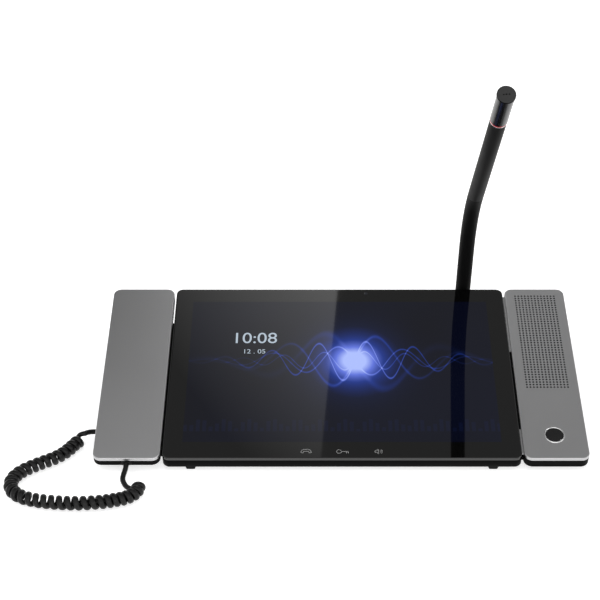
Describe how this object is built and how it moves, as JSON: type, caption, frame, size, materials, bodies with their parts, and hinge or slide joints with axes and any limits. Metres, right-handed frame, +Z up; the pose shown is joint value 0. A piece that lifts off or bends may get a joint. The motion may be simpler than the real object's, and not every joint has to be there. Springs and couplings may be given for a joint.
{
  "type": "intercom master station",
  "caption": "Tilted touch-screen desk intercom with a corded handset on its left, a loudspeaker wing with a round call key on its right and a gooseneck microphone behind.",
  "frame": {"origin": "on the desk, under the middle of the bounding box of everything but the cord", "axes": "+X to the user's right along the front edge, +Y to the back, +Z up"},
  "size_m": [0.3928, 0.2279, 0.2591],
  "materials": {
    "cover_glass": "black-backed, polished",
    "display": "lit display panel",
    "frame_metal": "satin black",
    "grey_metal": "fine bead-blasted, anodised grey",
    "black_plastic": "fine texture",
    "black_rubber": "matte",
    "cord_rubber": "satin",
    "gooseneck_black": "satin",
    "stem_dark": "satin dark grey",
    "cap_dark": "satin dark grey",
    "chrome": "polished",
    "status_red": "translucent light ring",
    "key_cap": "satin dark",
    "steel": "zinc plated",
    "socket_metal": "shielded socket",
    "capsule_metal": "bare",
    "circuit_board": "solder mask",
    "switch_plastic": "moulded",
    "terminal_green": "moulded",
    "mesh_cloth": "fine acoustic cloth",
    "speaker_black": "paper cone on steel basket"
  },
  "bodies": {
    "base": {"base_lead": "cord_rubber", "board_screws": "steel", "camera_module": "black_plastic", "cord_curls": "cord_rubber", "cord_jack": "black_plastic", "cord_plug": "black_plastic", "cradle_screws": "steel", "dust_mesh": "mesh_cloth", "front_feet": "black_rubber", "front_frame": "frame_metal", "front_glass": "cover_glass", "handset_cradle": "black_plastic", "handset_lead": "cord_rubber", "hook_sensor": "circuit_board", "housing_screws": "steel", "key_ring": "chrome", "key_switch": "switch_plastic", "lan_socket": "socket_metal", "lcd_panel": "display", "lock_nut": "steel", "main_board": "circuit_board", "mic_bush": "steel", "power_socket": "switch_plastic", "rear_feet": "black_rubber", "rear_housing": "black_plastic", "seat_pads": "black_rubber", "speaker_driver": "speaker_black", "speaker_gasket": "black_rubber", "stem_ferrule": "steel", "stem_sleeve": "gooseneck_black", "terminal_block": "terminal_green", "touch_key_board": "circuit_board", "wing_base": "black_plastic", "wing_bracket": "steel", "wing_cover": "grey_metal", "wing_screws": "steel"},
    "handset": {"handset_top_shell": "grey_metal", "handset_lower_shell": "black_plastic", "handset_screws": "steel", "receiver_capsule": "capsule_metal", "handset_microphone": "capsule_metal", "handset_magnet": "capsule_metal", "handset_gland": "black_rubber"},
    "call_key": {"call_key": "key_cap"},
    "link_1": {"gooseneck_link_1": "gooseneck_black"},
    "link_2": {"gooseneck_link_2": "gooseneck_black"},
    "link_3": {"gooseneck_link_3": "gooseneck_black"},
    "link_4": {"gooseneck_link_4": "gooseneck_black"},
    "link_5": {"gooseneck_link_5": "gooseneck_black"},
    "microphone": {"upper_stem": "stem_dark", "ring_trim": "chrome", "status_ring": "status_red", "mic_head": "chrome", "mic_capsule": "capsule_metal", "mic_cap": "cap_dark"}
  },
  "joints": [
    {"name": "handset_lift", "type": "slide", "parent": "base", "child": "handset", "axis": [0, -0.2079, 0.9781], "range_m": [0, 0.12]},
    {"name": "call_key_press", "type": "slide", "parent": "base", "child": "call_key", "axis": [0, 0.2079, -0.9781], "range_m": [0, 0.0008], "stiffness_N_per_m": 600, "springref_m": -0.0015},
    {"name": "bend_1", "type": "hinge", "parent": "base", "child": "link_1", "pos_m": [0.094, 0.06705, 0.0853], "axis": [0.9962, 0.0853, 0.0181], "range_deg": [-14, 8]},
    {"name": "sway_1", "type": "hinge", "parent": "link_1", "child": "link_2", "pos_m": [0.09407, 0.06398, 0.09606], "axis": [-0.0863, 0.9366, 0.3396], "range_deg": [-9, 9]},
    {"name": "bend_2", "type": "hinge", "parent": "link_2", "child": "link_3", "pos_m": [0.0942, 0.06017, 0.1066], "axis": [0.9962, 0.0853, 0.0181], "range_deg": [-14, 8]},
    {"name": "sway_2", "type": "hinge", "parent": "link_3", "child": "link_4", "pos_m": [0.0944, 0.05565, 0.11684], "axis": [-0.0839, 0.881, 0.4656], "range_deg": [-9, 9]},
    {"name": "bend_3", "type": "hinge", "parent": "link_4", "child": "link_5", "pos_m": [0.09467, 0.05044, 0.12675], "axis": [0.9962, 0.0853, 0.0181], "range_deg": [-14, 8]},
    {"name": "sway_3", "type": "hinge", "parent": "link_5", "child": "microphone", "pos_m": [0.095, 0.04456, 0.13628], "axis": [-0.0798, 0.8087, 0.5828], "range_deg": [-9, 9]}
  ],
  "couplings": [
    {"joint": "bend_2", "follows": "bend_1", "ratio": 1},
    {"joint": "bend_3", "follows": "bend_1", "ratio": 1},
    {"joint": "sway_2", "follows": "sway_1", "ratio": 1},
    {"joint": "sway_3", "follows": "sway_1", "ratio": 1}
  ]
}
